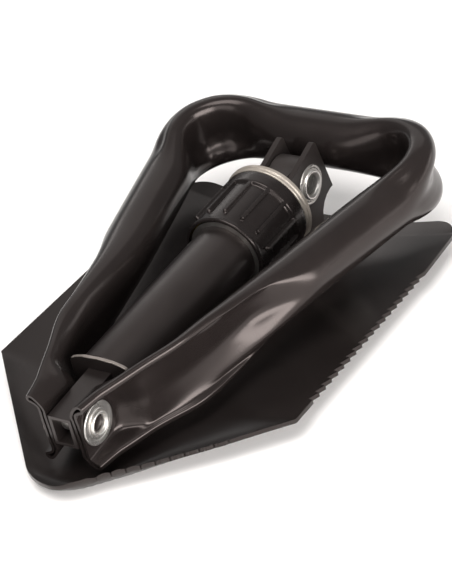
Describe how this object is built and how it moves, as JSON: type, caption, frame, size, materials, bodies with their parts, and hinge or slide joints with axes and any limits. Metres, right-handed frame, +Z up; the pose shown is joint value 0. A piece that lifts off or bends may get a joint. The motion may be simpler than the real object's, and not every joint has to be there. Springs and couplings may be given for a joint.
{
  "type": "folding camp shovel",
  "caption": "Tri-fold camp shovel, folded: dished pointed blade with toothed edge, tubular shaft with screw collar, and a D-shaped tube handle laid over it.",
  "frame": {"origin": "middle of the bounding box, at the floor the blade lies on", "axes": "+Z up, +Y along the folded shovel from the blade's tip to the grip, +X across it toward the saw teeth"},
  "size_m": [0.152, 0.2432, 0.0574],
  "materials": {
    "blade_paint": "satin black paint",
    "handle_paint": "glossy black paint",
    "shaft_paint": "satin black paint",
    "tongue_paint": "satin dark grey paint",
    "collar_plastic": "satin black plastic",
    "ring_metal": "pale zinc",
    "plated_steel": "bright nickel plate",
    "bare_steel": "machined",
    "insert_brass": "machined"
  },
  "bodies": {
    "blade_body": {"blade": "blade_paint", "blade_yoke": "blade_paint", "yoke_rivets": "blade_paint", "blade_pivot_rivet": "plated_steel", "blade_pivot_washer_left": "plated_steel", "blade_pivot_washer_right": "plated_steel", "tongue_spacers": "bare_steel"},
    "shaft_body": {"swivel_tongue": "tongue_paint", "tongue_pins": "bare_steel", "threaded_sleeve": "bare_steel", "stop_ring": "bare_steel", "shaft_tube": "shaft_paint", "end_plate": "shaft_paint", "handle_bracket": "shaft_paint", "handle_bushing": "bare_steel", "handle_pivot_rivet": "plated_steel", "handle_pivot_washer_left": "plated_steel", "handle_pivot_washer_right": "plated_steel"},
    "ring_body": {"thrust_ring": "ring_metal"},
    "collar_body": {"locking_collar": "collar_plastic", "collar_thread_insert": "insert_brass"},
    "handle_body": {"handle_frame": "handle_paint"}
  },
  "joints": [
    {"name": "blade_fold", "type": "hinge", "parent": "blade_body", "child": "shaft_body", "pos_m": [0, 0.08, 0.0341], "axis": [-1, 0, 0], "range_deg": [0, 166]},
    {"name": "handle_fold", "type": "hinge", "parent": "shaft_body", "child": "handle_body", "pos_m": [0, -0.09607, 0.02518], "axis": [1, 0, 0], "range_deg": [0, 178.5]},
    {"name": "ring_travel", "type": "slide", "parent": "shaft_body", "child": "ring_body", "axis": [0, 0.9987, 0.0506], "range_m": [0, 0.006]},
    {"name": "collar_turn", "type": "hinge", "parent": "ring_body", "child": "collar_body", "pos_m": [0, 0.08, 0.0341], "axis": [0, 0.9987, 0.0506], "range_deg": [0, 360.5]}
  ],
  "couplings": [
    {"joint": "collar_turn", "follows": "ring_travel", "rad_per_m": 1047.2},
    {"joint": "handle_fold", "follows": "blade_fold", "ratio": 1.0723}
  ]
}
